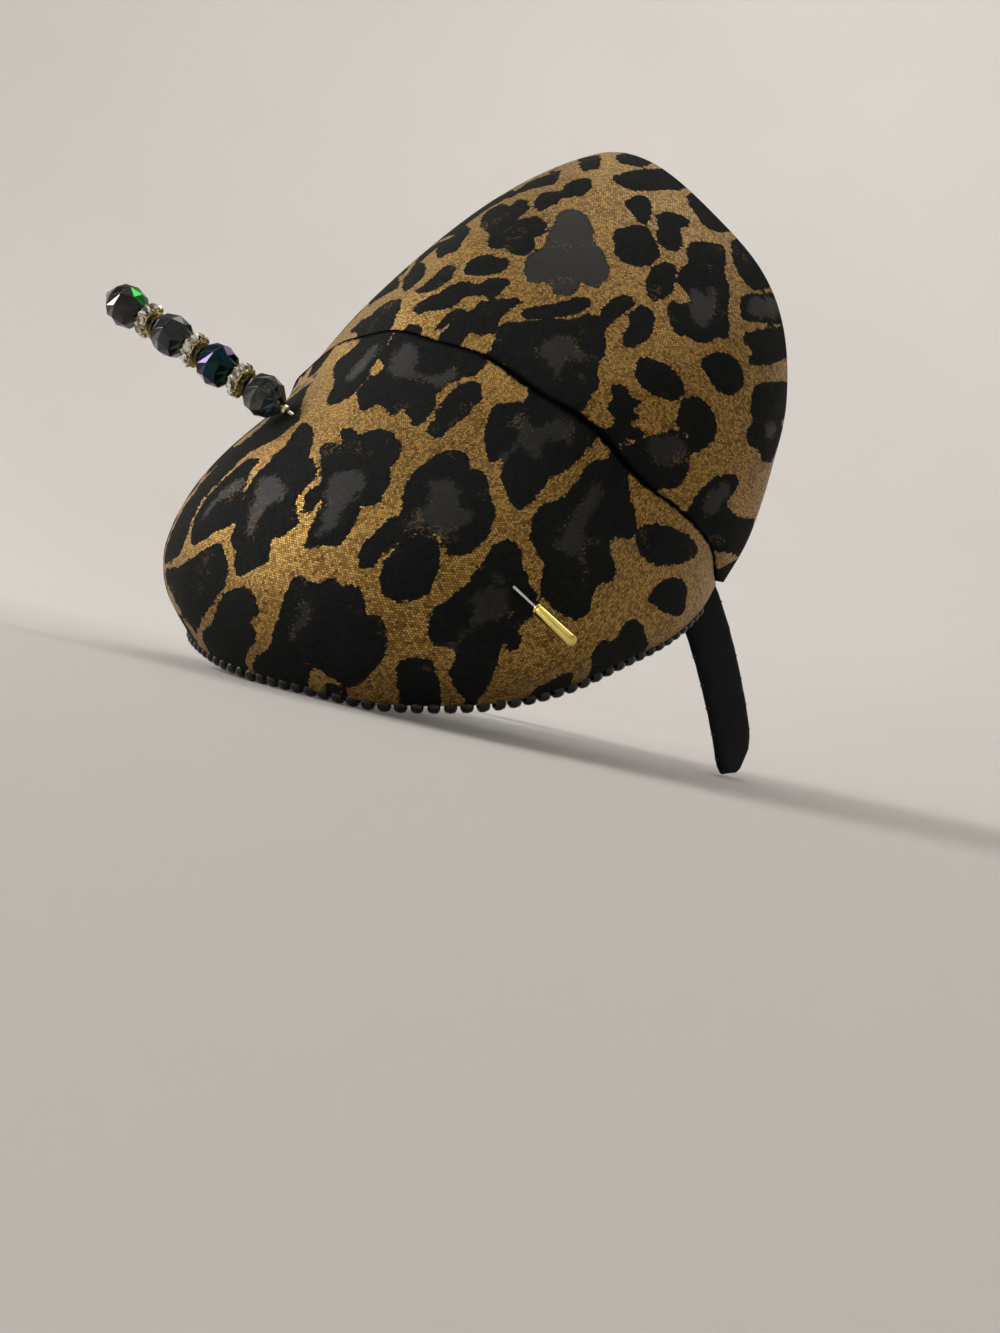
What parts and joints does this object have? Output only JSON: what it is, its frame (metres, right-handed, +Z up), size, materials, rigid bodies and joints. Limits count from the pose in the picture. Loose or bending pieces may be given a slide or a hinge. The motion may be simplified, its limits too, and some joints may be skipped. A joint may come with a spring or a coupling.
{
  "type": "fascinator hat",
  "caption": "Percher hat of two padded leopard brocade forms on a covered headband, with a beaded front edge and a crystal hat pin.",
  "frame": {"origin": "middle of the bounding box, at the surface that the hat stands on", "axes": "+Z up; -Y is the front, which the beaded edge faces; +X is the wearer's left. The hat stands tipped forward on its headband's tips and its beaded edge."},
  "size_m": [0.1594, 0.1802, 0.1777],
  "materials": {
    "bronze_leopard_brocade": "metallic woven brocade",
    "black_band_cloth": "matt",
    "dark_glass_beads": "glossy dark glass seed beads",
    "smoke_crystal": "faceted, iridescent coating",
    "rhinestone_setting": "clear stones in a pale gold ring",
    "pin_steel": "bright",
    "pale_gold": "polished pale gold plating"
  },
  "bodies": {
    "root": {"front_cap": "bronze_leopard_brocade", "back_lobe": "bronze_leopard_brocade", "headband": "black_band_cloth", "bead_edging": "dark_glass_beads", "crystal_bead_1": "smoke_crystal", "crystal_bead_2": "smoke_crystal", "crystal_bead_3": "smoke_crystal", "crystal_bead_4": "smoke_crystal", "rhinestone_rondelle_1": "rhinestone_setting", "rhinestone_rondelle_2": "rhinestone_setting", "rhinestone_rondelle_3": "rhinestone_setting", "pin_stop_bead": "pale_gold", "pin_shaft": "pin_steel", "pin_clutch": "pale_gold"}
  },
  "joints": []
}
